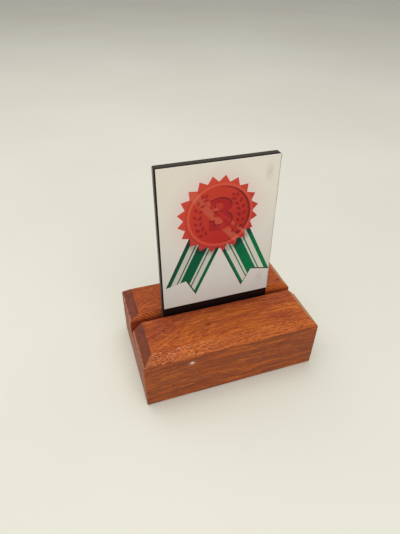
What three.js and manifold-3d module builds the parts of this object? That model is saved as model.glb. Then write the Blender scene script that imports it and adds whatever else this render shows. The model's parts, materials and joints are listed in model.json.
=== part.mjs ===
// Desk award: a printed upright panel standing in the open slot of a chamfered hardwood block.
//
// Millimetres, +Z up, +X along the block, -Y towards the reader. The origin is the middle of the
// block's underside, so the award rests on z = 0.
//
// Pieces: the wooden block, a packing strip hidden low in its slot behind the panel, and the panel
// itself, which lifts out: a black backing board, a thin bonding film and the printed sheet.

import * as THREE from 'three';
import { mergeVertices } from 'three/addons/utils/BufferGeometryUtils.js';
import Module from 'manifold-3d';

const wasm = await Module();
wasm.setup();

// ---------------------------------------------------------------- driving dimensions

// Block
const blockLength = 100;
const blockDepth = 62.6;
const blockHeight = 35.5;
const chamferWidth = 5.2; // how far each top chamfer runs in over the top face
const chamferDrop = 5.2; // how far it runs down the side
const footEase = 0.6; // small bevel round the underside

// Slot, sawn right through both ends of the block
const slotWidth = 7.4;
const slotDepth = 13.5;
const slotShift = 0.35; // the slot's middle lies a little behind the block's middle

// Panel
const panelLean = THREE.MathUtils.degToRad(2.2); // leans back
const panelShift = -0.85; // the board's middle lies a little left of the block's middle
const boardWidth = 62.6;
const boardRise = 86.6; // from the block's top face to the board's top edge, along the board
const boardThickness = 3.8;
const boardCorner = 0.8; // radius of the board's top corners
const sheetWidth = 61.8;
const sheetThickness = 0.3;
const filmThickness = 0.15;
const sheetTopMargin = 0.2; // board left showing above the sheet
const sheetRightMargin = 0.15; // and at its right edge
const sheetBottomMargin = 5.5; // sheet's lower edge above the block's top face
const filmInset = 0.2; // the bonding film stops short of the sheet's edges
const frontLipGap = 0.4; // slot's front lip to the plane of the sheet's face

// Packing strip
const packingLength = 50;
const packingHeight = 9;

// Clearances
const bondGap = 0.3; // between the layers of the panel
const footGap = 0.3; // under the board's foot and under the packing strip
const packingGap = 0.3; // packing strip to the board and to the slot's rear wall

// Cutters and crossed sections run this far past the block, so that no faces coincide
const overrun = 1;

// ---------------------------------------------------------------- derived places

const slotFloorZ = blockHeight - slotDepth;
const slotFrontY = slotShift - slotWidth / 2;
const slotRearY = slotShift + slotWidth / 2;

// The panel is modelled upright in its own frame: y = 0 is the face of the printed sheet, z = 0 is
// level with the block's top face, and the layers follow each other towards +y.
const filmFrontY = sheetThickness + bondGap;
const boardFrontY = filmFrontY + filmThickness + bondGap;
const boardRearY = boardFrontY + boardThickness;

// Board's foot: its lower edge turned down into the slot by the lean, clear of the slot's floor
const boardFootDrop = (slotDepth - footGap - boardRearY * Math.sin(panelLean)) / Math.cos(panelLean);

// ---------------------------------------------------------------- solids and booleans

// A closed geometry as a solid that can be cut
function solid(geometry) {
  const bare = geometry.clone();
  bare.deleteAttribute('normal');
  bare.deleteAttribute('uv');
  const merged = mergeVertices(bare, 1e-5);
  return new wasm.Manifold(new wasm.Mesh({
    numProp: 3,
    vertProperties: new Float32Array(merged.attributes.position.array),
    triVerts: new Uint32Array(merged.index.array),
  }));
}

// A solid back as a geometry with flat-shaded faces
function geometryOf(manifold) {
  const mesh = manifold.getMesh();
  const geometry = new THREE.BufferGeometry();
  geometry.setAttribute('position', new THREE.BufferAttribute(mesh.vertProperties, 3));
  geometry.setIndex(new THREE.BufferAttribute(mesh.triVerts, 1));
  const faceted = geometry.toNonIndexed();
  faceted.computeVertexNormals();
  return faceted;
}

// Box given by its lowest and highest corners
function boxBetween(low, high) {
  const box = new THREE.BoxGeometry(high[0] - low[0], high[1] - low[1], high[2] - low[2]);
  box.translate((low[0] + high[0]) / 2, (low[1] + high[1]) / 2, (low[2] + high[2]) / 2);
  return box;
}

// Closed outline of (x, y) points
function outline(points) {
  return new THREE.Shape(points.map(([x, y]) => new THREE.Vector2(x, y)));
}

// Outline in the YZ plane, drawn out along X and centred on x = 0
function prismAlongX(points, length) {
  const prism = new THREE.ExtrudeGeometry(outline(points), { depth: length, bevelEnabled: false });
  prism.translate(0, 0, -length / 2);
  prism.rotateX(Math.PI / 2);
  prism.rotateZ(Math.PI / 2);
  return prism;
}

// Outline in the XZ plane, drawn out along Y and centred on y = 0
function prismAlongY(points, length) {
  const prism = new THREE.ExtrudeGeometry(outline(points), { depth: length, bevelEnabled: false });
  prism.translate(0, 0, -length / 2);
  prism.rotateX(Math.PI / 2);
  return prism;
}

// Section of the block across one pair of sides: eased foot below, chamfered shoulders above
function chamferedSection(width) {
  const side = width / 2;
  return [
    [-side + footEase, 0], [side - footEase, 0], [side, footEase],
    [side, blockHeight - chamferDrop], [side - chamferWidth, blockHeight],
    [-side + chamferWidth, blockHeight], [-side, blockHeight - chamferDrop], [-side, footEase],
  ];
}

function namedMesh(name, geometry, look) {
  const mesh = new THREE.Mesh(geometry, new THREE.MeshStandardMaterial(look));
  mesh.name = name;
  return mesh;
}

// ---------------------------------------------------------------- pieces

// Hardwood block: the two chamfered sections crossed, which mitres the corners, less the slot
function baseBlock() {
  const across = solid(prismAlongX(chamferedSection(blockDepth), blockLength + 2 * overrun));
  const along = solid(prismAlongY(chamferedSection(blockLength), blockDepth + 2 * overrun));
  const slot = solid(boxBetween(
    [-blockLength / 2 - overrun, slotFrontY, slotFloorZ],
    [blockLength / 2 + overrun, slotRearY, blockHeight + overrun],
  ));
  const block = across.intersect(along).subtract(slot);
  return namedMesh('base_block', geometryOf(block), { color: 0x98502a, roughness: 0.45, metalness: 0 });
}

// Strip of packing that fills the slot behind the board's foot; its front face leans with the board
function packingStrip() {
  const lean = Math.tan(panelLean);
  const boardRearAtTop = slotFrontY + frontLipGap + boardRearY / Math.cos(panelLean);
  const lowZ = slotFloorZ + footGap;
  const highZ = lowZ + packingHeight;
  const frontY = (z) => boardRearAtTop + (z - blockHeight) * lean + packingGap;
  const rearY = slotRearY - packingGap;
  const section = [[frontY(lowZ), lowZ], [rearY, lowZ], [rearY, highZ], [frontY(highZ), highZ]];
  const strip = prismAlongX(section, packingLength);
  strip.translate(panelShift, 0, 0);
  return namedMesh('packing_strip', strip, { color: 0xa98d66, roughness: 0.9, metalness: 0 });
}

// Black board with rounded top corners, its foot reaching down into the slot
function backingBoard() {
  const side = boardWidth / 2;
  const shape = new THREE.Shape();
  shape.moveTo(-side, -boardFootDrop);
  shape.lineTo(side, -boardFootDrop);
  shape.lineTo(side, boardRise - boardCorner);
  shape.absarc(side - boardCorner, boardRise - boardCorner, boardCorner, 0, Math.PI / 2);
  shape.lineTo(-side + boardCorner, boardRise);
  shape.absarc(-side + boardCorner, boardRise - boardCorner, boardCorner, Math.PI / 2, Math.PI);
  const board = new THREE.ExtrudeGeometry(shape, {
    depth: boardThickness, bevelEnabled: false, curveSegments: 6,
  });
  board.rotateX(Math.PI / 2); // drawn up the board, thickness towards -y
  board.translate(0, boardRearY, 0);
  return namedMesh('backing_board', board, { color: 0x1a1817, roughness: 0.35, metalness: 0 });
}

// A flat layer as wide and high as the sheet, less an inset all round
function sheetLayer(frontY, thickness, inset) {
  const right = boardWidth / 2 - sheetRightMargin;
  return boxBetween(
    [right - sheetWidth + inset, frontY, sheetBottomMargin + inset],
    [right - inset, frontY + thickness, boardRise - sheetTopMargin - inset],
  );
}

function bondingFilm() {
  const film = sheetLayer(filmFrontY, filmThickness, filmInset);
  return namedMesh('bonding_film', film, { color: 0x15120f, roughness: 0.8, metalness: 0 });
}

function printedSheet() {
  const sheet = sheetLayer(0, sheetThickness, 0);
  return namedMesh('printed_sheet', sheet, { color: 0xd9d0c0, roughness: 0.4, metalness: 0 });
}

// ---------------------------------------------------------------- assembly

const group = new THREE.Group();
group.add(baseBlock(), packingStrip());

const panel = new THREE.Group();
panel.position.set(panelShift, slotFrontY + frontLipGap, blockHeight);
panel.rotation.x = -panelLean;
panel.add(backingBoard(), bondingFilm(), printedSheet());
group.add(panel);

export default group;
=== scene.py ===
# %% [markdown]
# # A small desk award: a printed panel standing in a slotted hardwood block
#
# The award is two things on a bench. The first is a block of reddish hardwood, chamfered round its
# top, with a slot sawn right through it lengthwise. The second is a panel that lifts out of the
# slot: a black board, a bond line and a white printed sheet with a third-place rosette on it.
#
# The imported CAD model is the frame. It holds every size and joint, so it is loaded first, and each
# finer Blender piece is built round the CAD node that it stands for.

import json
import math

import bmesh
import bpy
from mathutils import Matrix, Vector, noise


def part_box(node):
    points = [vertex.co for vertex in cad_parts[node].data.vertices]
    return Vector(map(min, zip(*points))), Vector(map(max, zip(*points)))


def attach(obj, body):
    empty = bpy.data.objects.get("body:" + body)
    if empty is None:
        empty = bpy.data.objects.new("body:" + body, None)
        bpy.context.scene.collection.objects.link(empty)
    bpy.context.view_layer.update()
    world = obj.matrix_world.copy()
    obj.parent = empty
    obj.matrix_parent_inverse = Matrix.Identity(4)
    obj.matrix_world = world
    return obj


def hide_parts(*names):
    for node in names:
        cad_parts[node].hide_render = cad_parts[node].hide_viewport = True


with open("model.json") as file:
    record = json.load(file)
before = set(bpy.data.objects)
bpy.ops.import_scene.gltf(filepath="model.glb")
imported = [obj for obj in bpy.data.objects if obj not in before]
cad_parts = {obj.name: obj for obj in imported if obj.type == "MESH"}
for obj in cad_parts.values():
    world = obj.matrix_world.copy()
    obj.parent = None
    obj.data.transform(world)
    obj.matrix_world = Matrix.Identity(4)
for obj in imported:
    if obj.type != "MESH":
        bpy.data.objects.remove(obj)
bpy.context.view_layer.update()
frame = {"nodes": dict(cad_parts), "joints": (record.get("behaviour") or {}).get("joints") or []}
MM = 0.001

# %% [markdown]
# ## Where the panel stands
#
# The panel leans back a little, so nothing on it is square to the world. One small frame of its own
# solves that: a direction to the reader's right, one up the panel, which is the direction that it
# lifts out in, and one out of its face. The origin is the middle of the sheet's lower edge. The
# print is then drawn flat, in millimetres, as on an artboard, and carried into place at the end.

# %% The panel's own frame
RIGHT = Vector((1, 0, 0))
UP = Vector(frame["joints"][0]["axis"]).normalized()
OUT = RIGHT.cross(UP)


def reach(node, direction):
    """How far a CAD node reaches along a direction: its lowest and highest value, in metres."""
    along = [vertex.co.dot(direction) for vertex in frame["nodes"][node].data.vertices]
    return min(along), max(along)


sheet_left, sheet_right = reach("printed_sheet", RIGHT)
sheet_low, sheet_high = reach("printed_sheet", UP)
sheet_rear, sheet_face = reach("printed_sheet", OUT)
board_rear, board_front = reach("backing_board", OUT)

origin = RIGHT * (sheet_left + sheet_right) / 2 + UP * sheet_low + OUT * sheet_face
ARTBOARD = Matrix.Translation(origin) @ Matrix((RIGHT, UP, OUT)).transposed().to_4x4()
SHEET_WIDTH = (sheet_right - sheet_left) / MM
SHEET_HEIGHT = (sheet_high - sheet_low) / MM
SHEET_THICKNESS = (sheet_face - sheet_rear) / MM
BOARD_FRONT = (sheet_face - board_front) / MM
BOARD_REAR = (sheet_face - board_rear) / MM
print(f"sheet {SHEET_WIDTH:.1f} x {SHEET_HEIGHT:.1f} x {SHEET_THICKNESS:.2f} mm")
print(f"board from {BOARD_FRONT:.2f} to {BOARD_REAR:.2f} mm behind the sheet's face")

# %% [markdown]
# ## A kit for wiring nodes
#
# Materials and Geometry Nodes are both trees of nodes. Written out one call at a time they are long
# and hard to read, so a small class wires them: each method adds one node and returns its output,
# and an input takes either a number or another node's output.


# %% Wiring
class Wiring:
    """Adds nodes to a tree. Values may be numbers, colours or the outputs of other nodes."""

    def __init__(self, tree):
        self.tree = tree

    def node(self, kind, inputs=None, **settings):
        made = self.tree.nodes.new(kind)
        for name, value in settings.items():
            setattr(made, name, value)
        for key, value in (inputs or {}).items():
            self.feed(made.inputs[key], value)
        return made

    def feed(self, socket, value):
        if isinstance(value, bpy.types.NodeSocket):
            self.tree.links.new(value, socket)
        else:
            socket.default_value = value

    def out(self, kind, inputs=None, **settings):
        """Adds a node and returns its first output."""
        return self.node(kind, inputs, **settings).outputs[0]

    def math(self, operation, *values):
        return self.out("ShaderNodeMath", dict(enumerate(values)), operation=operation)

    def times(self, first, second):
        return self.math("MULTIPLY", first, second)

    def plus(self, first, second):
        return self.math("ADD", first, second)

    def minus(self, first, second):
        return self.math("SUBTRACT", first, second)

    def scaled(self, value, factor, offset):
        """A value times a factor, plus an offset."""
        return self.math("MULTIPLY_ADD", value, factor, offset)

    def vector(self, operation, *values):
        made = self.node("ShaderNodeVectorMath", dict(enumerate(values)), operation=operation)
        return made.outputs["Value" if operation in ("DOT_PRODUCT", "LENGTH") else "Vector"]

    def combine(self, x, y, z):
        return self.out("ShaderNodeCombineXYZ", {0: x, 1: y, 2: z})

    def split(self, vector):
        return self.node("ShaderNodeSeparateXYZ", {0: vector}).outputs


class Finish(Wiring):
    """A material under construction, with its shader and the patterns used on this award."""

    def __init__(self, name):
        self.material = bpy.data.materials.new(name)
        self.material.use_nodes = True
        super().__init__(self.material.node_tree)
        self.shader = self.tree.nodes["Principled BSDF"]

    def place(self):
        """The spot on the piece, in millimetres of the row frame."""
        spot = self.node("ShaderNodeTexCoord").outputs["Object"]
        return self.vector("MULTIPLY", spot, (1 / MM,) * 3)

    def artboard(self):
        """The spot across, up and behind the sheet's face, in millimetres of the artboard."""
        local = self.vector("SUBTRACT", self.place(), tuple(origin / MM))
        return [self.vector("DOT_PRODUCT", local, tuple(axis)) for axis in (RIGHT, UP, -OUT)]

    def noise(self, spot, stretch, detail=2.0, roughness=0.5):
        """Cloudy noise from 0 to 1, with one feature about stretch millimetres long on each axis."""
        inputs = {"Vector": self.vector("DIVIDE", spot, stretch), "Scale": 1.0, "Detail": detail,
                  "Roughness": roughness}
        return self.out("ShaderNodeTexNoise", inputs)

    def fade(self, value, low, high, start=0.0, end=1.0):
        """A smooth step from start, where value is low, to end, where value is high."""
        inputs = {0: value, 1: low, 2: high, 3: start, 4: end}
        return self.out("ShaderNodeMapRange", inputs, interpolation_type="SMOOTHSTEP")

    def mix(self, factor, first, second):
        inputs = {0: factor, 6: first, 7: second}
        return self.node("ShaderNodeMix", inputs, data_type="RGBA").outputs[2]

    def painted(self, name):
        """A number painted on the mesh as an attribute."""
        return self.node("ShaderNodeAttribute", attribute_name=name).outputs["Fac"]

    def surface(self, colour, roughness, specular=0.5):
        """Joins colour and roughness to the shader, and sets one specular level all over."""
        self.feed(self.shader.inputs["Base Color"], colour)
        self.feed(self.shader.inputs["Roughness"], roughness)
        self.feed(self.shader.inputs["Specular IOR Level"], specular)
        return self.material

    def bump(self, height, distance):
        """Fine relief, in metres, that is too small to model."""
        inputs = {"Height": height, "Distance": distance, "Strength": 1.0}
        self.feed(self.shader.inputs["Normal"], self.out("ShaderNodeBump", inputs))


def paint(red, green, blue):
    """A screen colour, each channel from 0 to 255, as the linear light that Blender works in."""
    channels = [value / 255 for value in (red, green, blue)]
    linear = [c / 12.92 if c <= 0.04045 else ((c + 0.055) / 1.055) ** 2.4 for c in channels]
    return (*linear, 1.0)


print("orange wood in linear light:", [round(c, 3) for c in paint(180, 95, 45)])

# %% [markdown]
# ## The hardwood
#
# The block is a reddish, slightly oily hardwood, cut so that its growth layers lie almost flat.
# They rise in a low arch along the block: on the top face they come out as broad bowed figures,
# and on the front as finer lines. So the wood is made solid: each spot's height in the stack of
# layers is worked out from its place, and streaks, dark lines and pores follow that. A texture
# wrapped on the faces could not agree with itself round the arrises.
#
# Three numbers painted on the mesh tell the finish where wood was cut across its fibres, where it
# is bare from the saw, and which chamfers are still rough. Those chamfers also get painted light:
# they are brighter and more orange, as where they face the lamps, with pale painted highlights.
# The finish's lengths are millimetres.


# %% Hardwood finish
SAW_PITCH = 1.15
SAW_ROWS = 1.15
RING = 1.4
ARCH_PEAK = 10.0
ARCH_BEND = 0.0017
THROUGH_LAYERS = (0, 0.375, 0.927)
ACROSS_FIBRES = (0, 0.927, -0.375)
FRONT_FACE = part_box("base_block")[0].y / MM


def growth_layers(f, spot):
    """The spot along the fibres, across them and through the stack of growth layers."""
    x = f.split(spot)[0]
    from_peak = f.minus(x, ARCH_PEAK)
    bow = f.times(f.times(from_peak, from_peak), ARCH_BEND)
    wander = f.scaled(f.noise(spot, (45, 24, 18)), 5.0, -2.5)
    layer = f.vector("DOT_PRODUCT", spot, THROUGH_LAYERS)
    layer = f.plus(f.plus(layer, bow), wander)
    level = f.vector("DOT_PRODUCT", spot, ACROSS_FIBRES)
    return f.combine(x, level, layer)


def front_marks(f, spot, colour):
    """The front face, browner than the top: a speck of white paint, a dent, a scratch, smudges."""
    x, y, z = f.split(spot)
    on_front = f.fade(y, FRONT_FACE + 0.25, FRONT_FACE + 0.5, 1.0, 0.0)
    ragged = f.scaled(f.noise(spot, (0.8, 0.8, 0.8), 3.0, 0.6), 1.6, -0.8)
    fine = f.fade(f.noise(spot, (12, 1.1, 0.9), 3.0, 0.7), 0.46, 0.55, 0.0, 0.75)
    colour = f.mix(f.times(fine, on_front), colour, paint(124, 66, 42))

    stain = paint(92, 50, 34)
    marks = (((25, 29.3), (26, 1.6), 0.45, stain),  # a dull band under the arris
             ((-46, 1.2), (4.5, 1.3), 0.5, stain),  # the foot of the left corner
             ((-22, 11.6), (8.5, 0.32), 0.3, paint(186, 140, 116)),  # the scratch
             ((-35, 11.8), (0.8, 0.8), 0.8, paint(70, 44, 36)),  # the dent
             ((-24.6, 26.0), (2.4, 1.9), 0.3, paint(196, 150, 130)),  # a smear round the speck
             ((-24.4, 26.3), (1.25, 0.85), 0.95, paint(226, 214, 200)))  # the speck of paint
    for centre, half_size, strength, tone in marks:
        local = f.combine(f.math("DIVIDE", f.minus(x, centre[0]), half_size[0]),
                          f.math("DIVIDE", f.minus(z, centre[1]), half_size[1]), 0.0)
        away = f.plus(f.vector("LENGTH", local), ragged)
        cover = f.times(f.fade(away, 0.55, 1.15, strength, 0.0), on_front)
        colour = f.mix(cover, colour, tone)
    return colour


def figure(f, grain):
    """The broad figure: paler and darker layers, with one zone of old dark wood in the stack."""
    ragged = f.scaled(f.noise(grain, (60, 10, 4.5), 3.0, 0.6), 7.0, -3.5)
    height = f.plus(f.split(grain)[2], ragged)
    zone = f.times(f.fade(height, 28.5, 32.0), f.fade(height, 36.0, 42.0, 0.72, 0.6))
    broad = f.noise(grain, (60, 12, 3.6), 3.0, 0.55)
    colour = f.mix(f.fade(broad, 0.38, 0.64), paint(184, 97, 38), paint(160, 76, 38))
    colour = f.mix(zone, colour, paint(138, 58, 36))
    streak = f.noise(grain, (34, 1.6, 0.6), 4.0, 0.6)
    colour = f.mix(f.fade(streak, 0.44, 0.66, 0.0, 0.5), colour, paint(130, 52, 30))
    colour = f.mix(f.fade(streak, 0.3, 0.44, 0.35, 0.0), colour, paint(212, 122, 58))
    line = f.math("ABSOLUTE", f.minus(f.noise(grain, (70, 14, 2.4)), 0.52))
    return f.mix(f.fade(line, 0.0, 0.016, 0.55, 0.0), colour, paint(100, 42, 32))


def threads(f, grain, colour, rough_and_lit):
    """Single fibres, some dark and some that catch the light; torn ones stand out on the coarse
    chamfers.
    """
    fibre = f.noise(grain, (15, 0.5, 0.4), 3.0, 0.75)
    strength = f.scaled(rough_and_lit, 0.3, 1.0)
    dark = f.times(f.fade(fibre, 0.36, 0.48, 0.55, 0.0), strength)
    light = f.times(f.fade(fibre, 0.52, 0.66, 0.0, 0.42), strength)
    return f.mix(light, f.mix(dark, colour, paint(112, 46, 26)), paint(226, 134, 64))


def end_wood(f, grain, spot):
    """Wood cut across its fibres: dark with oil on the left chamfer; elsewhere a pale, pinkish
    painted reflection of the floor and room lies over it.
    """
    x, y, z = f.split(spot)
    bands = f.fade(f.noise(grain, (30, 9, 1.6), 3.0), 0.4, 0.66)
    wander = f.times(f.noise(grain, (20, 6, 3)), 2.5)
    rings = f.math("SINE", f.times(f.plus(f.split(grain)[2], wander), 2 * math.pi / RING))
    oiled = f.mix(bands, paint(121, 67, 52), paint(104, 57, 47))
    oiled = f.mix(f.fade(y, -26, 0, 0.4, 0.0), oiled, paint(108, 54, 36))
    arris = f.plus(x, f.times(f.noise(spot, (9, 7, 9)), 3.0))
    oiled = f.mix(f.fade(arris, -44.6, -43.6, 0.0, 0.6), oiled, paint(84, 56, 50))
    # painted reflection: the end faces pale and pinkish, as where the end grain mirrors the pale
    # floor and room; rings and pale streaks lie in it, and it turns greyer towards the bottom
    reflecting_end = f.mix(bands, paint(174, 118, 94), paint(146, 94, 72))
    reflecting_end = f.mix(f.fade(rings, 0.3, 1.0, 0.0, 0.25), reflecting_end, paint(128, 78, 58))
    streaks = f.fade(f.noise(spot, (4, 1.7, 16), 3.0, 0.6), 0.5, 0.68)
    streaks = f.times(streaks, f.fade(x, -49, 0, 0.35, 0.12))
    reflecting_end = f.mix(streaks, reflecting_end, paint(216, 180, 156))
    reflecting_end = f.mix(f.fade(z, 4, 24, 0.35, 0.0), reflecting_end, paint(166, 142, 120))
    # painted reflection: the right end paler and more orange, as where it is seen at a glancing
    # angle
    reflecting_end = f.mix(f.fade(x, 40, 44, 0.0, 0.55), reflecting_end, paint(186, 136, 86))
    is_reflecting = f.math("MAXIMUM", f.fade(x, -49.7, -49.3, 1.0, 0.0), f.fade(x, 42, 44))
    return f.mix(is_reflecting, oiled, reflecting_end)


def saw_marks(f, spot):
    """The slot's bare wood: pale torn fibres in rows, smoother on the right, with painted shade
    lower down.
    """
    x, _, z = f.split(spot)
    along = f.times(f.scaled(z, 0.25, x), 2 * math.pi / SAW_PITCH)
    rows = f.times(z, 2 * math.pi / SAW_ROWS)
    crest = f.scaled(f.math("SINE", rows), 3.0, f.math("SINE", along))
    torn = f.scaled(crest, 0.08, f.noise(spot, (2.4, 0.6, 0.4)))
    bare = f.mix(f.fade(torn, 0.42, 0.66), paint(148, 56, 16), paint(250, 148, 84))
    bare = f.mix(f.fade(x, 20, 36, 0.0, 0.6), bare, paint(214, 112, 44))
    # painted shade: the walls darker and redder deep in the slot, where little light reaches
    return f.mix(f.fade(z, 28.8, 32.2, 0.8, 0.0), bare, paint(122, 42, 20))


def hardwood():
    f = Finish("hardwood")
    spot = f.place()
    x = f.split(spot)[0]
    end_grain, sawn, rough_and_lit = [f.painted(name) for name in ("end_grain", "sawn", "rough_and_lit")]
    grain = growth_layers(f, spot)
    # painted light: the chamfers brighter and more orange, as where they face the lamps
    colour = f.mix(f.times(rough_and_lit, 0.3), figure(f, grain), paint(201, 109, 54))
    rough_and_lit = f.times(rough_and_lit, f.fade(x, -30, 20, 1.0, 0.65))
    colour = threads(f, grain, colour, rough_and_lit)

    # open pores: short dark flecks along the fibres, dots where the fibres are cut across
    pores = f.fade(f.noise(spot, (2.6, 0.3, 0.3), 2.0, 0.6), 0.56, 0.66)
    depth = f.scaled(rough_and_lit, 0.25, 0.5)
    colour = f.mix(f.times(pores, depth), colour, paint(88, 34, 22))
    # painted highlight: pale glints, as where the light catches the coarse chamfers
    glints = f.fade(f.noise(spot, (1.4, 0.4, 0.4), 2.0, 0.6), 0.57, 0.68)
    glints = f.times(f.times(glints, rough_and_lit), f.fade(x, -40, 5, 0.75, 0.1))
    # the chamfers duller and browner near the left corner, with fewer glints there
    dull_corner = f.times(rough_and_lit, f.fade(x, -46.5, -41, 0.5, 0.0))
    glints = f.times(glints, f.fade(x, -47, -41, 0.1, 1.0))
    colour = f.mix(dull_corner, colour, paint(150, 94, 54))
    colour = f.mix(glints, colour, paint(246, 184, 142))
    pits = f.fade(f.noise(spot, (1.6, 0.45, 0.45), 2.0, 0.6), 0.6, 0.7, 0.0, 0.6)
    colour = f.mix(f.times(pits, rough_and_lit), colour, paint(124, 44, 24))

    colour = f.mix(f.times(end_grain, 0.92), colour, end_wood(f, grain, spot))
    colour = front_marks(f, spot, colour)
    colour = f.mix(sawn, colour, saw_marks(f, spot))

    roughness = f.scaled(pores, 0.25, 0.4)
    roughness = f.math("MAXIMUM", roughness, f.times(f.math("MAXIMUM", sawn, end_grain), 0.85))
    relief = f.times(pores, f.scaled(rough_and_lit, -1.6, -0.8))
    sanding = f.noise(spot, (0.35, 3.0, 9.0))
    f.bump(f.scaled(sanding, 0.3, relief), 0.00005)
    return f.surface(colour, roughness, 0.1)


HARDWOOD = hardwood()
print("hardwood:", len(HARDWOOD.node_tree.nodes), "nodes")

# %% [markdown]
# ## The block
#
# The CAD block already has the chamfers, their mitres and the slot, but its edges are razor sharp
# and its faces perfectly flat. A real block is sanded by hand. So a copy of the CAD mesh is welded,
# its outer arrises are rounded over, its faces are cut into a fine net, and the net is pushed in by
# a few hundredths of a millimetre, and a little more where an arris got a knock. Wood is only ever
# taken away, so the block stays in its box.
#
# The slot is different: it is left as the saw made it. Its walls get a much finer net, and the
# ridges of the saw teeth are real relief in it.


# %% Helpers for meshes
def new_object(name, data):
    """A new object in the scene, at the origin, that holds this data."""
    item = bpy.data.objects.new(name, data)
    bpy.context.scene.collection.objects.link(item)
    return item


def as_mesh(name, body):
    """A finished body as a mesh."""
    mesh = bpy.data.meshes.new(name)
    body.to_mesh(mesh)
    body.free()
    return mesh


def weld(node):
    """A CAD node's mesh as one welded body with whole faces."""
    body = bmesh.new()
    body.from_mesh(frame["nodes"][node].data)
    bmesh.ops.remove_doubles(body, verts=body.verts, dist=1e-6)
    bmesh.ops.dissolve_limit(body, angle_limit=math.radians(1), verts=body.verts, edges=body.edges)
    bmesh.ops.recalc_face_normals(body, faces=body.faces)
    return body


def paint_faces(mesh, name, rule):
    """Paints a number on each face's corners: 1 where the rule holds for the face, else 0."""
    values = [float(bool(rule(face))) for face in mesh.polygons for _ in face.loop_indices]
    mesh.attributes.new(name, "FLOAT", "CORNER").data.foreach_set("value", values)


def add_piece(name, mesh, body, slot_name, material, *stands_for):
    """Turns a finished mesh into a piece of the award that rides on a CAD body."""
    piece = new_object(name, mesh)
    if not mesh.materials:
        mesh.materials.append(material)
    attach(piece, body)
    if stands_for:
        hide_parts(*stands_for)
    size = [round((max(c) - min(c)) / MM, 2) for c in zip(*(v.co for v in mesh.vertices))]
    print(f"{name}: {size} mm, {sum(len(p.vertices) - 2 for p in mesh.polygons)} triangles")


def sharp_edges(body, degrees):
    return [e for e in body.edges if e.is_manifold and e.calc_face_angle(0) > math.radians(degrees)]


def net(body, axis, low, high, pitch):
    """Cuts the whole body with evenly spaced planes square to an axis."""
    count = round((high - low) / pitch)
    normal = Vector([float(i == axis) for i in range(3)])
    for step in range(1, count):
        place = normal * (low + (high - low) * step / count)
        everything = [*body.verts, *body.edges, *body.faces]
        bmesh.ops.bisect_plane(body, geom=everything, dist=1e-7, plane_co=place, plane_no=normal)


# %% Shape the block
block_low, block_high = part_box("base_block")
GENERAL_NET = 2 * MM
WALL_CUTS = ((0, 11), (2, 3))
BLOCK_EASE = 0.3 * MM
SAW_DEPTH = 0.12 * MM
SWELL = 0.03
NICK = 0.25


def slot_sides():
    """The slot's floor, in z, and its two walls, in y."""
    welded = weld("base_block")
    floor = max(f.calc_center_median().z for f in welded.faces if len(f.verts) == 4 and
                f.normal.z > 0.99 and f.calc_center_median().z < block_high.z - MM)
    upright = [f.calc_center_median().y for f in welded.faces if abs(f.normal.y) > 0.99]
    welded.free()
    walls = sorted(y for y in upright if abs(y) < block_high.y / 2)
    return floor, *walls


SLOT_FLOOR, SLOT_FRONT, SLOT_REAR = slot_sides()
print(f"slot y {SLOT_FRONT / MM:.2f} to {SLOT_REAR / MM:.2f} mm, floor z {SLOT_FLOOR / MM:.2f} mm")


def in_slot(place, hair=0.01 * MM):
    """Whether a spot is on the slot's walls or floor, or between them."""
    return SLOT_FRONT - hair < place.y < SLOT_REAR + hair and place.z > SLOT_FLOOR - hair


def shape_block():
    """The CAD block with eased arrises, its faces cut into a net, finer on the slot's walls."""
    body = weld("base_block")
    outer = [e for e in sharp_edges(body, 20) if not all(in_slot(v.co) for v in e.verts)
             and max(v.co.z for v in e.verts) > 2 * MM]
    bmesh.ops.bevel(body, geom=outer, offset=BLOCK_EASE, segments=2, profile=0.5, affect="EDGES",
                    clamp_overlap=True)
    for axis in range(3):
        net(body, axis, block_low[axis], block_high[axis], GENERAL_NET)
    bmesh.ops.recalc_face_normals(body, faces=body.faces)
    for axis, cuts in WALL_CUTS:
        walls = [f for f in body.faces if abs(f.normal.y) > 0.99 and in_slot(f.calc_center_median())]
        edges = {e for f in walls for e in f.edges
                 if abs((e.verts[0].co - e.verts[1].co)[axis]) > GENERAL_NET / 2}
        bmesh.ops.subdivide_edges(body, edges=list(edges), cuts=cuts, use_grid_fill=True)
    seams = [f for f in body.faces if len(f.verts) > 4]
    bmesh.ops.triangulate(body, faces=seams, ngon_method="BEAUTY")
    return body


def wear_block(body):
    """Pushes the net in: saw ridges in the slot, hand sanding and small knocks elsewhere."""
    body.normal_update()
    moves = []
    for vertex in body.verts:
        place = vertex.co / MM
        wall = in_slot(vertex.co) and vertex.co.z > SLOT_FLOOR + 0.2 * MM
        if wall:
            fade = min(1, (block_high.z - vertex.co.z) / (0.6 * MM))
            wave = math.sin(2 * math.pi * (place.x + 0.25 * place.z) / SAW_PITCH)
            tear = noise.noise(Vector((place.x * 0.9, 7.0, place.z * 0.7)))
            side = 1 if vertex.co.y > (SLOT_FRONT + SLOT_REAR) / 2 else -1
            depth = SAW_DEPTH * (0.5 + 0.35 * wave + 0.25 * tear)
            moves.append((vertex, Vector((0, side * max(0, depth) * fade, 0))))
        elif vertex.co.z > 1 * MM and not in_slot(vertex.co):
            swell = 0.5 + 0.5 * noise.noise(place / 11)
            nick = max(0, noise.noise(place * 0.55 + Vector((31, 0, 0))) - 0.25)
            depth = SWELL * swell + NICK * nick * is_arris(vertex)
            moves.append((vertex, -vertex.normal * depth * MM))
    for vertex, move in moves:
        vertex.co += move


def is_arris(vertex):
    """1 where the faces round a corner point look different ways, and 0 on a flat face."""
    return float(any(e.is_manifold and e.calc_face_angle(0) > math.radians(10)
                     for e in vertex.link_edges))


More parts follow.
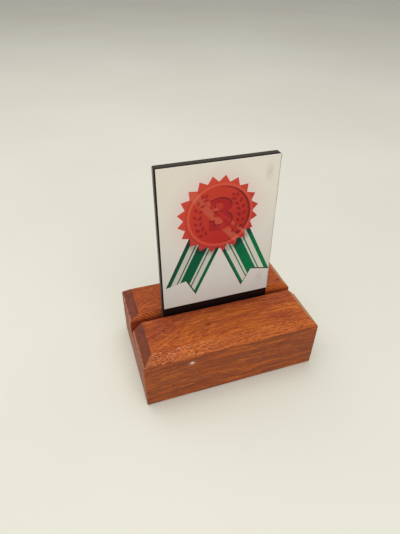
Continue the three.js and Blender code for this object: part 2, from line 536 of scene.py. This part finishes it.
def on_slot_wall(face):
    """Whether a face was cut by the saw: a wall of the slot, now ridged, or its floor."""
    looks_up = face.normal.z > 0.5 and face.center.z > SLOT_FLOOR + MM
    return in_slot(face.center, 2 * SAW_DEPTH) and abs(face.normal.x) < 0.7 and not looks_up


block_body = shape_block()
wear_block(block_body)
block_mesh = as_mesh("block", block_body)
paint_faces(block_mesh, "end_grain", lambda face: abs(face.normal.x) > 0.5)
paint_faces(block_mesh, "sawn", on_slot_wall)
paint_faces(block_mesh, "rough_and_lit", lambda face: 0.6 < abs(face.normal.y) < 0.8 and face.normal.z > 0.6)
add_piece("wood_block", block_mesh, "base", "hardwood", HARDWOOD, "base_block")

# %% [markdown]
# ## The board
#
# The panel's strength is a black board, about 4 mm thick, with slightly rounded top corners. Its
# faces are smooth and glossy, and its edges, cut with a blade, are greyer and scuffed, with a dark
# line along each arris. The CAD node has the right outline, so a welded copy of it only needs its
# arrises eased. The finish reads how far behind the sheet's face a spot lies, to tell the edge's
# grey middle from its dark borders.


# %% Board
BOARD_EASE = 0.25 * MM


def black_board():
    f = Finish("black board")
    _, up, behind = f.artboard()
    spot = f.place()
    edge = f.painted("cut_edge")
    scuff = f.noise(spot, (0.5, 1.6, 5.0), 3.0, 0.6)
    grey = f.mix(f.fade(scuff, 0.3, 0.75), paint(96, 90, 80), paint(134, 130, 119))
    top = f.fade(up, SHEET_HEIGHT - 0.8, SHEET_HEIGHT + 0.1)
    grey = f.mix(f.times(top, 0.95), grey, paint(48, 43, 34))
    # darker and browner towards the foot of the edge, near the block
    grey = f.mix(f.fade(up, -4, 40, 0.9, 0.0), grey, paint(58, 46, 40))
    border = f.fade(behind, BOARD_FRONT + 0.7, BOARD_FRONT + 1.1, 1.0, 0.0)
    border = f.math("MAXIMUM", border, f.fade(behind, BOARD_REAR - 0.45, BOARD_REAR - 0.2))
    grey = f.mix(border, grey, paint(44, 38, 36))
    specks = f.fade(f.noise(spot, (0.35, 0.35, 0.35)), 0.7, 0.78)
    black = f.mix(specks, paint(22, 14, 14), paint(52, 44, 42))
    colour = f.mix(edge, black, grey)
    f.bump(f.times(scuff, edge), 0.00004)
    return f.surface(colour, f.scaled(edge, 0.4, 0.28), 0.2)


def shape_board():
    body = weld("backing_board")
    bmesh.ops.bevel(body, geom=sharp_edges(body, 60), offset=BOARD_EASE, segments=2, profile=0.5,
                    affect="EDGES", clamp_overlap=True)
    mesh = as_mesh("board", body)
    paint_faces(mesh, "cut_edge", lambda face: abs(face.normal.dot(OUT)) < 0.5)
    return mesh


add_piece("panel_board", shape_board(), "panel", "black_board", black_board(), "backing_board")

# %% [markdown]
# ## Flat work on the artboard
#
# The sheet, the bond line and every printed shape are flat plates of different thickness, stacked
# like paint. One helper makes such a plate from its outline: the outline's points below, the same
# points above, and a wall round them, so that each is a closed body. Rounded stretches of an
# outline come from a helper for arcs.


# %% Plates and arcs
def arc(centre, radii, start, end, steps):
    """Points along an arc of an ellipse, from one angle in degrees to another."""
    angles = [math.radians(start + (end - start) * i / steps) for i in range(steps + 1)]
    return [(centre[0] + radii[0] * math.cos(a), centre[1] + radii[1] * math.sin(a)) for a in angles]


def plate_mesh(name, outlines, low, high):
    """Closed plates with these outlines, in artboard millimetres, from one height to another."""
    body = bmesh.new()
    for outline in outlines:
        below = [body.verts.new((x, y, low)) for x, y in outline]
        above = [body.verts.new((x, y, high)) for x, y in outline]
        body.faces.new(above)
        body.faces.new(below[::-1])
        for i in range(len(outline)):
            j = (i + 1) % len(outline)
            body.faces.new((below[i], below[j], above[j], above[i]))
    bmesh.ops.recalc_face_normals(body, faces=body.faces)
    return as_mesh(name, body)


def hang(mesh):
    """Carries a mesh from the artboard, in millimetres, to its place on the panel, in metres."""
    mesh.transform(ARTBOARD @ Matrix.Scale(MM, 4))
    return mesh


def add_print(name, mesh, slot_name, material, *stands_for):
    add_piece(name, hang(mesh), "panel", slot_name, material, *stands_for)


# %% [markdown]
# ## The sheet and its bond line
#
# The sheet is stiff white plastic film, trimmed by hand: its right edge wavers inwards by up to
# 0.3 mm, and shows a thin painted line of its own shadow. It has a satin face, a little yellow at
# the top and greyer below, where painted shade darkens it towards the block, with a pink blush
# round the red print and a few brown smudges from handling. Behind it lies the dark bond line
# that holds it on the board, set back a little.

# %% Sheet and bond line
INK = 0.02
STAR_CENTRE = (-0.75, 52.95)
MEDAL_CENTRE = (0.3, 52.85)
STAR_TIP = 21.4
STAR_VALLEY = 18.15
TRIM_WAVER = 0.3
BOND_INSET = 0.3
BOND_TOP_INSET = 0.2


def from_centre(f, across, up, centre):
    """How far a spot on the artboard is from a centre."""
    offset = f.combine(f.minus(across, centre[0]), f.minus(up, centre[1]), 0.0)
    return f.vector("LENGTH", offset)


def white_sheet():
    f = Finish("white sheet")
    across, up, _ = f.artboard()
    spot = f.place()
    # painted shade: greyer towards the bottom, where the block shades the sheet's foot; a little
    # yellower at the top
    colour = f.mix(f.fade(up, 5, 75), paint(207, 205, 202), paint(231, 224, 213))
    cloud = f.noise(spot, (26, 26, 26))
    colour = f.mix(f.fade(cloud, 0.35, 0.7, 0.0, 0.35), colour, paint(222, 214, 198))
    blush = f.fade(from_centre(f, across, up, STAR_CENTRE), STAR_VALLEY, STAR_TIP + 8, 0.6, 0.0)
    colour = f.mix(blush, colour, paint(222, 199, 194))
    # painted shadow: a thin darker line along the trimmed right edge
    rim = f.plus(across, f.times(f.noise(spot, (9, 9, 5)), 0.5))
    rim = f.fade(rim, SHEET_WIDTH / 2 - 0.35, SHEET_WIDTH / 2 - 0.05)
    colour = f.mix(f.times(rim, 0.8), colour, paint(140, 124, 108))
    tall = f.times(up, 0.5)
    patches = (((25.5, 36.4), 3.2, 0.3), ((24.8, 4.8), 3.0, 0.22), ((-1.4, 1.6), 0.6, 0.3))
    ragged = f.scaled(f.noise(spot, (1.6, 1.6, 4.0), 3.0, 0.6), 4.0, -2.0)
    for centre, size, strength in patches:
        away = f.plus(from_centre(f, across, tall, centre), ragged)
        colour = f.mix(f.fade(away, 0.0, size, strength, 0.0), colour, paint(176, 150, 122))
    grainy = f.noise(spot, (0.6, 0.6, 0.6))
    f.bump(grainy, 0.000004)
    return f.surface(colour, f.scaled(grainy, 0.1, 0.36), 0.15)


def sheet_outline():
    """The sheet's outline, with a hand-trimmed right edge that wavers inwards."""
    half = SHEET_WIDTH / 2
    count = 40
    trimmed = []
    for i in range(count + 1):
        height = SHEET_HEIGHT * i / count
        waver = 0.5 + 0.5 * noise.noise(Vector((height / 9, 4.2, 0)))
        trimmed.append((half - TRIM_WAVER * waver * min(1, (count - i) / 3), height))
    return [(-half, SHEET_HEIGHT), (-half, 0), *trimmed]


def bond_finish():
    f = Finish("bond line")
    smear = f.noise(f.place(), (3, 3, 3), 3.0)
    colour = f.mix(f.fade(smear, 0.35, 0.7), paint(30, 24, 22), paint(58, 50, 46))
    return f.surface(colour, f.scaled(smear, 0.2, 0.5))


add_print("print_sheet", plate_mesh("sheet", [sheet_outline()], -SHEET_THICKNESS, 0),
          "white_sheet", white_sheet(), "printed_sheet")
bond_side = SHEET_WIDTH / 2 - BOND_INSET
bond_top = SHEET_HEIGHT - BOND_TOP_INSET
bond_outline = [(-bond_side, BOND_INSET), (bond_side, BOND_INSET), (bond_side, bond_top),
                (-bond_side, bond_top)]
add_print("bond_line", plate_mesh("bond", [bond_outline], -BOARD_FRONT, -SHEET_THICKNESS),
          "bonding_adhesive", bond_finish(), "bonding_film")

# %% [markdown]
# ## The ribbon tails
#
# Two tails hang from the medal, slanted outwards, each with a swallow-tail end. A tail is a pale
# ground with green stripes of several widths along it. Every stripe has the same two ends: hidden
# under the medal above, and the notched end below. So one function gives a stripe from its place
# across the tail, and a list of widths does the rest. Thin dark lines shade the left-hand sides.

# %% Ribbon tails
TAIL_MIDDLE = 0.55
TAIL_CORNER = (29.95, 13.9)
TAIL_WIDTH = 18.3
TAIL_SLANT = math.radians(25.0)
NOTCH = (TAIL_WIDTH / 2, 6.9)
STRIPES = [("green", 2.2), ("pale", 2.65), ("green", 0.65), ("pale", 1.0), ("green", 5.5),
           ("pale", 1.1), ("green", 0.65), ("pale", 2.65), ("green", 1.9)]
SHADE_SIDE = 0.55
SHADE_END = 0.85
SHADE_THIN = 0.4


def tail_spot(side, across, along):
    """A spot on a tail: across it from the outer side, and along it from its lowest corners."""
    x = TAIL_CORNER[0] - across * math.cos(TAIL_SLANT) - along * math.sin(TAIL_SLANT)
    y = TAIL_CORNER[1] - across * math.sin(TAIL_SLANT) + along * math.cos(TAIL_SLANT)
    return TAIL_MIDDLE + side * x, y


def tail_end(across):
    return NOTCH[1] * (1 - abs(across - NOTCH[0]) / NOTCH[0])


def tail_top(across):
    return 36.0 - 4.4 * across / TAIL_WIDTH


def stripe(side, start, end, top=tail_top):
    """The outline of one stripe, between two places across the tail."""
    stops = [start, *([NOTCH[0]] if start < NOTCH[0] < end else []), end]
    lower = [tail_spot(side, a, tail_end(a)) for a in stops]
    upper = [tail_spot(side, a, top(a)) for a in reversed(stops)]
    return lower + upper


def medal_shade(f, across, up, colour, dark):
    """The medal's printed shadow, which falls on the tails just below it."""
    away = from_centre(f, across, up, (STAR_CENTRE[0], STAR_CENTRE[1] - 1.4))
    return f.mix(f.fade(away, STAR_TIP - 1.6, STAR_TIP + 1.6, 0.8, 0.0), colour, dark)


def ribbon_ink(name, light, deep, dark):
    f = Finish(name)
    across, up, _ = f.artboard()
    brighter = f.fade(f.scaled(across, 0.35, f.times(up, -0.4)), -22, 4)
    colour = f.mix(brighter, deep, light)
    mottle = f.noise(f.place(), (3.5, 3.5, 3.5), 3.0)
    colour = f.mix(f.fade(mottle, 0.4, 0.8, 0.0, 0.25), colour, deep)
    colour = medal_shade(f, across, up, colour, dark)
    return f.surface(colour, f.scaled(mottle, 0.1, 0.35), 0.1)


GREEN = ribbon_ink("green ink", paint(0, 118, 70), paint(0, 77, 54), paint(16, 46, 38))
PALE = ribbon_ink("ribbon ground", paint(210, 208, 196), paint(192, 190, 180), paint(152, 150, 141))
SHADE_LINE = ribbon_ink("ribbon shade line", paint(52, 60, 50), paint(38, 42, 36), paint(28, 30, 28))


def green_stripes(side):
    start = 0
    for ink, width in STRIPES:
        if ink == "green":
            yield stripe(side, start, start + width)
        start += width


def shade_lines(side):
    """Dark lines down the left of a tail and along its notched end, as shapes that never overlap."""
    if side < 0:
        yield stripe(side, 0, SHADE_SIDE)
        yield stripe(side, NOTCH[0], TAIL_WIDTH, top=lambda a: tail_end(a) + SHADE_END)
        return
    inner = TAIL_WIDTH - SHADE_SIDE
    below = [(a, tail_end(a)) for a in (0, NOTCH[0], TAIL_WIDTH)]
    above = [(TAIL_WIDTH, tail_top(TAIL_WIDTH)), (inner, tail_top(inner)),
             (inner, tail_end(inner) + SHADE_THIN), (NOTCH[0], NOTCH[1] + SHADE_THIN),
             (NOTCH[0], NOTCH[1] + SHADE_END), (0, SHADE_END)]
    yield [tail_spot(side, across, along) for across, along in below + above]


for side, label in ((-1, "left"), (1, "right")):
    ground = plate_mesh("ground", [stripe(side, 0, TAIL_WIDTH)], 0, INK)
    add_print(f"ribbon_ground_{label}", ground, "ribbon_white_print", PALE)
    stripes = plate_mesh("stripes", list(green_stripes(side)), INK / 2, 2 * INK)
    add_print(f"ribbon_stripes_{label}", stripes, "green_print", GREEN)
    lines = plate_mesh("lines", list(shade_lines(side)), INK / 2, 2.5 * INK)
    add_print(f"ribbon_shade_{label}", lines, "green_print", SHADE_LINE)

# %% [markdown]
# ## The medal's red inks
#
# The medal is printed in reds that change slowly: warmer and lighter at the top left, deeper at
# the lower right. Two slanting streaks, like light on enamel, cross the star, the rim and the
# disc. The streaks have to line up from one shape to the next, so each ink works them out from the
# artboard, and not from its own shape.


# %% Red inks
# each streak: the direction across it, its middle from the medal's centre, and its width
STREAKS = (((0.756, 0.655, 0), -2.8, 3.5), ((0.693, 0.721, 0), 1.0, 1.5))


def streaks(f, across, up):
    """The two slanting light streaks, 1 inside them and 0 outside."""
    local = f.combine(f.minus(across, MEDAL_CENTRE[0]), f.minus(up, MEDAL_CENTRE[1]), 0.0)
    bands = []
    for normal, middle, width in STREAKS:
        away = f.math("ABSOLUTE", f.minus(f.vector("DOT_PRODUCT", local, normal), middle))
        bands.append(f.fade(away, width / 2 - 0.12, width / 2 + 0.12, 1.0, 0.0))
    return f.math("MAXIMUM", *bands)


def red_ink(name, top, bottom, streak, streak_strength, shading=None):
    """A red that deepens from the top left to the lower right, crossed by the streaks."""
    f = Finish(name)
    across, up, _ = f.artboard()
    slope = f.minus(f.times(up, 0.85), f.times(across, 0.5))
    colour = f.mix(f.fade(slope, 30, 60), bottom, top)
    mottle = f.noise(f.place(), (2.8, 2.8, 2.8), 3.0)
    colour = f.mix(f.fade(mottle, 0.4, 0.85, 0.0, 0.25), colour, bottom)
    if shading:
        colour = shading(f, across, up, colour)
    crossed = f.times(streaks(f, across, up), streak_strength)
    colour = f.mix(crossed, colour, streak)
    return f.surface(colour, f.scaled(mottle, 0.1, 0.33), 0.1)


def disc_shading(f, across, up, colour):
    """A dark crescent inside the rim on the right, as if the disc were sunk."""
    lit = from_centre(f, across, up, (MEDAL_CENTRE[0] - 1.15, MEDAL_CENTRE[1] - 0.1))
    return f.mix(f.fade(lit, 15.2, 16.6, 0.0, 0.85), colour, paint(110, 32, 34))


def star_shading(f, across, up, colour):
    """A soft darker line just outside the rim on the left."""
    away = from_centre(f, across, up, (MEDAL_CENTRE[0] - 0.5, MEDAL_CENTRE[1] - 0.1))
    return f.mix(f.fade(away, 17.2, 18.3, 0.55, 0.0), colour, paint(150, 44, 36))


STAR_INK = red_ink("star ink", paint(206, 72, 56), paint(178, 54, 50), paint(208, 92, 76), 0.7,
                   star_shading)
RIM_INK = red_ink("rim ink", paint(212, 86, 64), paint(202, 72, 60), paint(222, 112, 90), 0.5)
DISC_INK = red_ink("disc ink", paint(194, 62, 46), paint(180, 42, 38), paint(192, 84, 64), 0.9,
                   disc_shading)
NUMERAL_INK = red_ink("numeral ink", paint(172, 37, 38), paint(162, 36, 38), paint(190, 52, 46), 0.5)
DEEP_INK = red_ink("deep red ink", paint(122, 34, 36), paint(112, 32, 36), paint(130, 40, 40), 0.3)
LAUREL_INK = red_ink("laurel ink", paint(168, 40, 38), paint(138, 30, 36), paint(176, 58, 50), 0.5)

# %% [markdown]
# ## The star and the rim
#
# Behind the medal is a star of twenty straight teeth, and the medal has a plain raised rim. Both
# follow a rule, so Geometry Nodes make them: a star curve for one, and two circles, filled between,
# for the other. Each tree fills its curves, then moves the fill to its place, because filling would
# lay it flat at height 0 again. The fill is lifted by the ink's thickness, and a flipped copy closes
# the underside. The sizes are named inputs of the tree.


# %% Geometry Nodes kit
def recipe(name, inputs):
    """A new Geometry Nodes tree with named inputs, and its wiring."""
    tree = bpy.data.node_groups.new(name, "GeometryNodeTree")
    for label, kind in inputs.items():
        tree.interface.new_socket(label, in_out="INPUT", socket_type="NodeSocket" + kind)
    tree.interface.new_socket("Geometry", in_out="OUTPUT", socket_type="NodeSocketGeometry")
    return Wiring(tree)


def close_recipe(w, geometry, material):
    """Ends a tree: instances made real, the finish set, the result sent out."""
    real = w.out("GeometryNodeRealizeInstances", {0: geometry})
    done = w.out("GeometryNodeSetMaterial", {"Geometry": real, "Material": material})
    w.node("NodeGroupOutput", {0: done})


def thicken(w, fill, thickness):
    """A flat fill lifted into a closed plate."""
    lifted = w.out("GeometryNodeExtrudeMesh", {"Mesh": fill, "Offset Scale": thickness,
                                               "Individual": False})
    under = w.out("GeometryNodeFlipFaces", {"Mesh": fill})
    both = w.node("GeometryNodeJoinGeometry")
    w.feed(both.inputs[0], under)
    w.feed(both.inputs[0], lifted)
    return w.out("GeometryNodeMergeByDistance", {"Geometry": both.outputs[0], "Distance": INK / 50})


def grow(w, values):
    """Runs a tree with these input values and returns the plain mesh that it makes."""
    name = w.tree.name
    carrier = new_object(name, bpy.data.meshes.new(name))
    modifier = carrier.modifiers.new(name, "NODES")
    modifier.node_group = w.tree
    for item in w.tree.interface.items_tree:
        if item.in_out == "INPUT":
            modifier[item.identifier] = values[item.name]
    evaluated = carrier.evaluated_get(bpy.context.evaluated_depsgraph_get())
    mesh = bpy.data.meshes.new_from_object(evaluated)
    bpy.data.objects.remove(carrier)
    mesh.materials.pop(index=0)
    print(f"{name}: {len(mesh.vertices)} vertices, {len(mesh.polygons)} faces")
    return mesh


# %% Star and rim
RIM_OUTER = 17.5
RIM_INNER = 16.05
DISC_RADIUS = 16.2
RAISED = 2.5 * INK


def star_recipe():
    w = recipe("toothed star", {"Teeth": "Int", "Tip radius": "Float", "Valley radius": "Float",
                                "Centre": "Vector", "Thickness": "Float", "Ink": "Material"})
    given = w.node("NodeGroupInput").outputs
    star = w.out("GeometryNodeCurveStar", {"Points": given["Teeth"],
                                           "Inner Radius": given["Valley radius"],
                                           "Outer Radius": given["Tip radius"]})
    fill = w.out("GeometryNodeFillCurve", {"Curve": star}, mode="NGONS")
    half_tooth = w.math("DIVIDE", math.pi, given["Teeth"])
    placed = w.out("GeometryNodeTransform", {"Geometry": fill, "Translation": given["Centre"],
                                             "Rotation": w.combine(0.0, 0.0, half_tooth)})
    close_recipe(w, thicken(w, placed, given["Thickness"]), given["Ink"])
    return w


def rim_recipe():
    w = recipe("medal rim", {"Steps": "Int", "Outer radius": "Float", "Inner radius": "Float",
                             "Centre": "Vector", "Thickness": "Float", "Ink": "Material"})
    given = w.node("NodeGroupInput").outputs
    both = w.node("GeometryNodeJoinGeometry")
    for radius in ("Outer radius", "Inner radius"):
        circle = w.out("GeometryNodeCurvePrimitiveCircle", {"Resolution": given["Steps"],
                                                            "Radius": given[radius]})
        w.feed(both.inputs[0], circle)
    fill = w.out("GeometryNodeFillCurve", {"Curve": both.outputs[0]}, mode="TRIANGLES")
    placed = w.out("GeometryNodeTransform", {"Geometry": fill, "Translation": given["Centre"]})
    close_recipe(w, thicken(w, placed, given["Thickness"]), given["Ink"])
    return w


star_values = {"Teeth": 20, "Tip radius": STAR_TIP, "Valley radius": STAR_VALLEY,
               "Centre": (*STAR_CENTRE, INK / 2), "Thickness": RAISED, "Ink": STAR_INK}
add_print("medal_star", grow(star_recipe(), star_values), "red_print", STAR_INK)
rim_values = {"Steps": 120, "Outer radius": RIM_OUTER, "Inner radius": RIM_INNER,
              "Centre": (*MEDAL_CENTRE, 2 * INK), "Thickness": RAISED, "Ink": RIM_INK}
add_print("medal_rim", grow(rim_recipe(), rim_values), "red_print", RIM_INK)
disc_outline = arc(MEDAL_CENTRE, (DISC_RADIUS, DISC_RADIUS), 0, 357, 119)
disc = plate_mesh("disc", [disc_outline], 2 * INK, 4 * INK)
add_print("medal_disc", disc, "red_print", DISC_INK)

# %% [markdown]
# ## The place numeral
#
# The bold 3 stands for third place. It is drawn here from a few corners and arcs, not set in a
# font. It looks sunk into the disc: a dark shade shows along its top and right-hand edges. So it is
# printed twice: the whole shape in the deep ink, and on top of it, in the lighter ink, what that
# shape and a copy moved down and to the left have in common.


# %% Numeral
SHADE_SHIFT = (0.55, 0.6)


def numeral_outline():
    cx, cy = MEDAL_CENTRE
    bowls = [*arc((-0.3, 5.6), (6.6, 4.55), 95, -50, 14), *arc((2.3, -2.2), (4.35, 4.3), 66, 0, 8),
             *arc((0.9, -2.2), (5.75, 5.9), -8, -90, 10)]
    foot = [(-5.7, -8.0), (-5.9, -7.7), (-5.9, -2.1), (-2.85, -2.05), (-2.8, -4.2), (-2.3, -4.7)]
    lower_counter = arc((0.2, -2.6), (1.35, 2.1), -75, 80, 8)
    arm = [(-3.3, -0.25), (-3.5, -0.1), (-3.5, 2.6), (-3.3, 2.8), (-1.2, 2.8)]
    upper_counter = arc((0.0, 5.1), (1.45, 1.95), -65, 90, 8)
    terminal = [(-2.1, 7.05), (-2.55, 6.6), (-2.6, 4.55), (-5.3, 4.45), (-5.3, 9.0)]
    points = bowls + foot + lower_counter + arm + upper_counter + terminal
    return [(x + cx, y + cy) for x, y in points]


def shared_mesh(first, second):
    """What two closed meshes have in common."""
    pair = [new_object("numeral part", mesh) for mesh in (first, second)]
    cut = pair[0].modifiers.new("shared", "BOOLEAN")
    cut.operation = "INTERSECT"
    cut.solver = "EXACT"
    cut.object = pair[1]
    evaluated = pair[0].evaluated_get(bpy.context.evaluated_depsgraph_get())
    mesh = bpy.data.meshes.new_from_object(evaluated)
    for item in pair:
        bpy.data.objects.remove(item)
    return mesh


numeral_deep = plate_mesh("numeral deep", [numeral_outline()], 3 * INK, 5 * INK)
moved = [(x - SHADE_SHIFT[0], y - SHADE_SHIFT[1]) for x, y in numeral_outline()]
numeral_top = shared_mesh(plate_mesh("whole", [numeral_outline()], 4 * INK, 6 * INK),
                          plate_mesh("moved", [moved], 3.5 * INK, 6.5 * INK))
add_print("numeral_shade", numeral_deep, "red_print", DEEP_INK)
add_print("numeral_three", numeral_top, "red_print", NUMERAL_INK)

# %% [markdown]
# ## The laurel
#
# A sprig of laurel stands on each side of the numeral: seven pairs of small pointed leaves along an
# arc, and one leaf at the tip. Geometry Nodes place them: one leaf is shaped from a circle, points
# are set along the arc, and each point gets an outer and an inner leaf, turned away from the
# stem. A fixed seed varies their size and turn a little.


# %% Laurel
LEAF_LENGTH = 3.0
LEAF_WIDTH = 1.7
SPRIG_RADIUS = 16.4
SPRIG_FOOT = 36.8  # degrees below the level of the sprig's centre
SPRIG_SWEEP = 73.8
LEAF_TILT = 36
LEAF_SPREAD = 1.35
# each sprig: which way it turns, its label, and how far its arc's centre is off the medal's
SPRIGS = ((1, "left", (4.5, 0.25)), (-1, "right", (-5.1, -0.75)))


def sprig_recipe():
    w = recipe("laurel sprig", {"Pairs": "Int", "Radius": "Float", "Foot angle": "Float",
                                "Sweep": "Float", "Hand": "Float", "Centre": "Vector",
                                "Leaf length": "Float", "Leaf width": "Float", "Spread": "Float",
                                "Tilt": "Float", "Thickness": "Float", "Ink": "Material"})
    given = w.node("NodeGroupInput").outputs
    circle = w.out("GeometryNodeMeshCircle", {"Vertices": 16, "Radius": 1.0}, fill_type="NGON")
    x, y, _ = w.split(w.out("GeometryNodeInputPosition"))
    long = w.times(x, w.times(given["Leaf length"], 0.5))
    pointed = w.times(w.times(y, w.math("ABSOLUTE", y)), given["Leaf width"])
    shape = w.combine(long, w.times(pointed, 0.5), 0.0)
    blade = w.out("GeometryNodeSetPosition", {"Geometry": circle, "Position": shape})
    leaf = thicken(w, blade, given["Thickness"])

    count = w.scaled(given["Pairs"], 2.0, 1.0)
    points = w.out("GeometryNodePoints", {"Count": count})
    index = w.out("GeometryNodeInputIndex")
    pair = w.math("FLOOR", w.math("DIVIDE", index, 2.0))
    inner = w.math("MODULO", index, 2.0)
    tip = w.math("COMPARE", index, w.times(given["Pairs"], 2.0), 0.5)
    side = w.times(w.scaled(inner, -2.0, 1.0), w.minus(1.0, tip))
    step = w.math("DIVIDE", given["Sweep"], w.minus(given["Pairs"], 1.0))
    ahead = w.times(w.minus(1.0, inner), 0.14)
    station = w.plus(pair, w.times(ahead, w.minus(1.0, tip)))
    station = w.minus(station, w.times(tip, 0.45))
    angle = w.plus(given["Foot angle"], w.times(station, step))
    radius = w.plus(given["Radius"], w.times(side, given["Spread"]))
    place = w.combine(w.times(w.math("COSINE", angle), radius),
                      w.times(w.math("SINE", angle), radius), 0.0)
    place = w.vector("ADD", place, given["Centre"])
    placed = w.out("GeometryNodeSetPosition", {"Geometry": points, "Position": place})
    heading = w.plus(angle, w.times(given["Hand"], -math.pi / 2))
    lean = w.times(w.times(side, given["Tilt"]), given["Hand"])
    jitter = w.node("FunctionNodeRandomValue", {2: -0.12, 3: 0.12, "Seed": 5}).outputs[1]
    turn = w.plus(w.plus(heading, lean), jitter)
    size = w.node("FunctionNodeRandomValue", {2: 0.9, 3: 1.08, "Seed": 9}).outputs[1]
    leaves = w.out("GeometryNodeInstanceOnPoints", {"Points": placed, "Instance": leaf,
                                                    "Rotation": w.combine(0.0, 0.0, turn),
                                                    "Scale": w.combine(size, size, 1.0)})
    close_recipe(w, leaves, given["Ink"])
    return w


sprig = sprig_recipe()
for hand, label, offset in SPRIGS:
    foot = math.radians(180 + SPRIG_FOOT if hand > 0 else -SPRIG_FOOT)
    sprig_centre = (MEDAL_CENTRE[0] + offset[0], MEDAL_CENTRE[1] + offset[1], 3 * INK)
    values = {"Pairs": 7, "Radius": SPRIG_RADIUS, "Foot angle": foot,
              "Sweep": math.radians(-SPRIG_SWEEP * hand), "Hand": float(hand),
              "Centre": sprig_centre, "Leaf length": LEAF_LENGTH, "Leaf width": LEAF_WIDTH,
              "Spread": LEAF_SPREAD, "Tilt": math.radians(LEAF_TILT), "Thickness": 2 * INK,
              "Ink": LAUREL_INK}
    add_print(f"laurel_{label}", grow(sprig, values), "red_print", LAUREL_INK)

# %% [markdown]
# ## The packing strip
#
# Behind the board's foot, out of sight low in the slot, a strip of card packs it forward so that it
# stands nearly upright. The CAD node's shape is right, so it stays and only gets a card finish.


# %% Card finish
def packing_card():
    f = Finish("packing card")
    spot = f.place()
    plies = f.noise(spot, (40, 0.35, 40))
    fibre = f.noise(spot, (1.2, 0.4, 0.5), 4.0, 0.65)
    colour = f.mix(plies, paint(150, 122, 86), paint(182, 156, 116))
    colour = f.mix(f.fade(fibre, 0.5, 0.75, 0.0, 0.5), colour, paint(120, 96, 66))
    f.bump(fibre, 0.00005)
    return f.surface(colour, f.scaled(fibre, 0.1, 0.85))


frame["nodes"]["packing_strip"].material_slots[0].material = packing_card()

# %% [markdown]
# ## Camera, floor and light
#
# The camera looks down on the award from the front left. The floor is pale cream, with just enough
# variation not to look computed. The light is that of a bright room: a big soft lamp overhead, a
# second one in front, and a pale sky all round.

# %% Camera
CAMERA_PLACE = (-0.06772, -0.16753, 0.20155)
HEADING = math.radians(18.93)
PITCH = math.radians(37.95)
ROLL = math.radians(0.84)
LENS = 28.366

camera_data = bpy.data.cameras.new("camera")
camera_data.lens = LENS
camera_data.clip_start = 0.01
camera = new_object("camera", camera_data)
turn = (Matrix.Rotation(-HEADING, 4, "Z") @ Matrix.Rotation(math.pi / 2 - PITCH, 4, "X")
        @ Matrix.Rotation(ROLL, 4, "Z"))
camera.matrix_world = Matrix.Translation(CAMERA_PLACE) @ turn
bpy.context.scene.camera = camera
print("camera", [round(c / MM) for c in CAMERA_PLACE], "mm, lens", LENS, "mm")


# %% Floor
def floor_finish():
    f = Finish("pale floor")
    spot = f.place()
    cloud = f.noise(spot, (260, 260, 260), 3.0)
    colour = f.mix(f.fade(cloud, 0.35, 0.65), paint(210, 209, 198), paint(213, 213, 202))
    return f.surface(colour, f.scaled(cloud, 0.1, 0.6))


floor_body = bmesh.new()
bmesh.ops.create_grid(floor_body, x_segments=4, y_segments=4, size=4.0)
floor_mesh = as_mesh("floor", floor_body)
floor_mesh.materials.append(floor_finish())
floor = new_object("floor", floor_mesh)


# %% Light
def lamp(name, place, target, size, power, tint):
    data = bpy.data.lights.new(name, "AREA")
    data.size = size
    data.energy = power
    data.color = tint
    item = new_object(name, data)
    item.location = place
    item.rotation_euler = (Vector(target) - Vector(place)).to_track_quat("-Z", "Y").to_euler()


lamp("overhead", (-0.2, 0.15, 1.1), (0, 0, 0), 1.2, 9.5, (1, 0.985, 0.96))
lamp("front", (0.0, -0.9, 0.9), (0, 0, 0.04), 1.0, 5.0, (1, 0.985, 0.97))

world = bpy.data.worlds.new("room")
bpy.context.scene.world = world
world.use_nodes = True
background = world.node_tree.nodes["Background"]
background.inputs["Color"].default_value = (1.0, 0.98, 0.94, 1)
background.inputs["Strength"].default_value = 0.5
bpy.context.scene.view_settings.view_transform = "Standard"
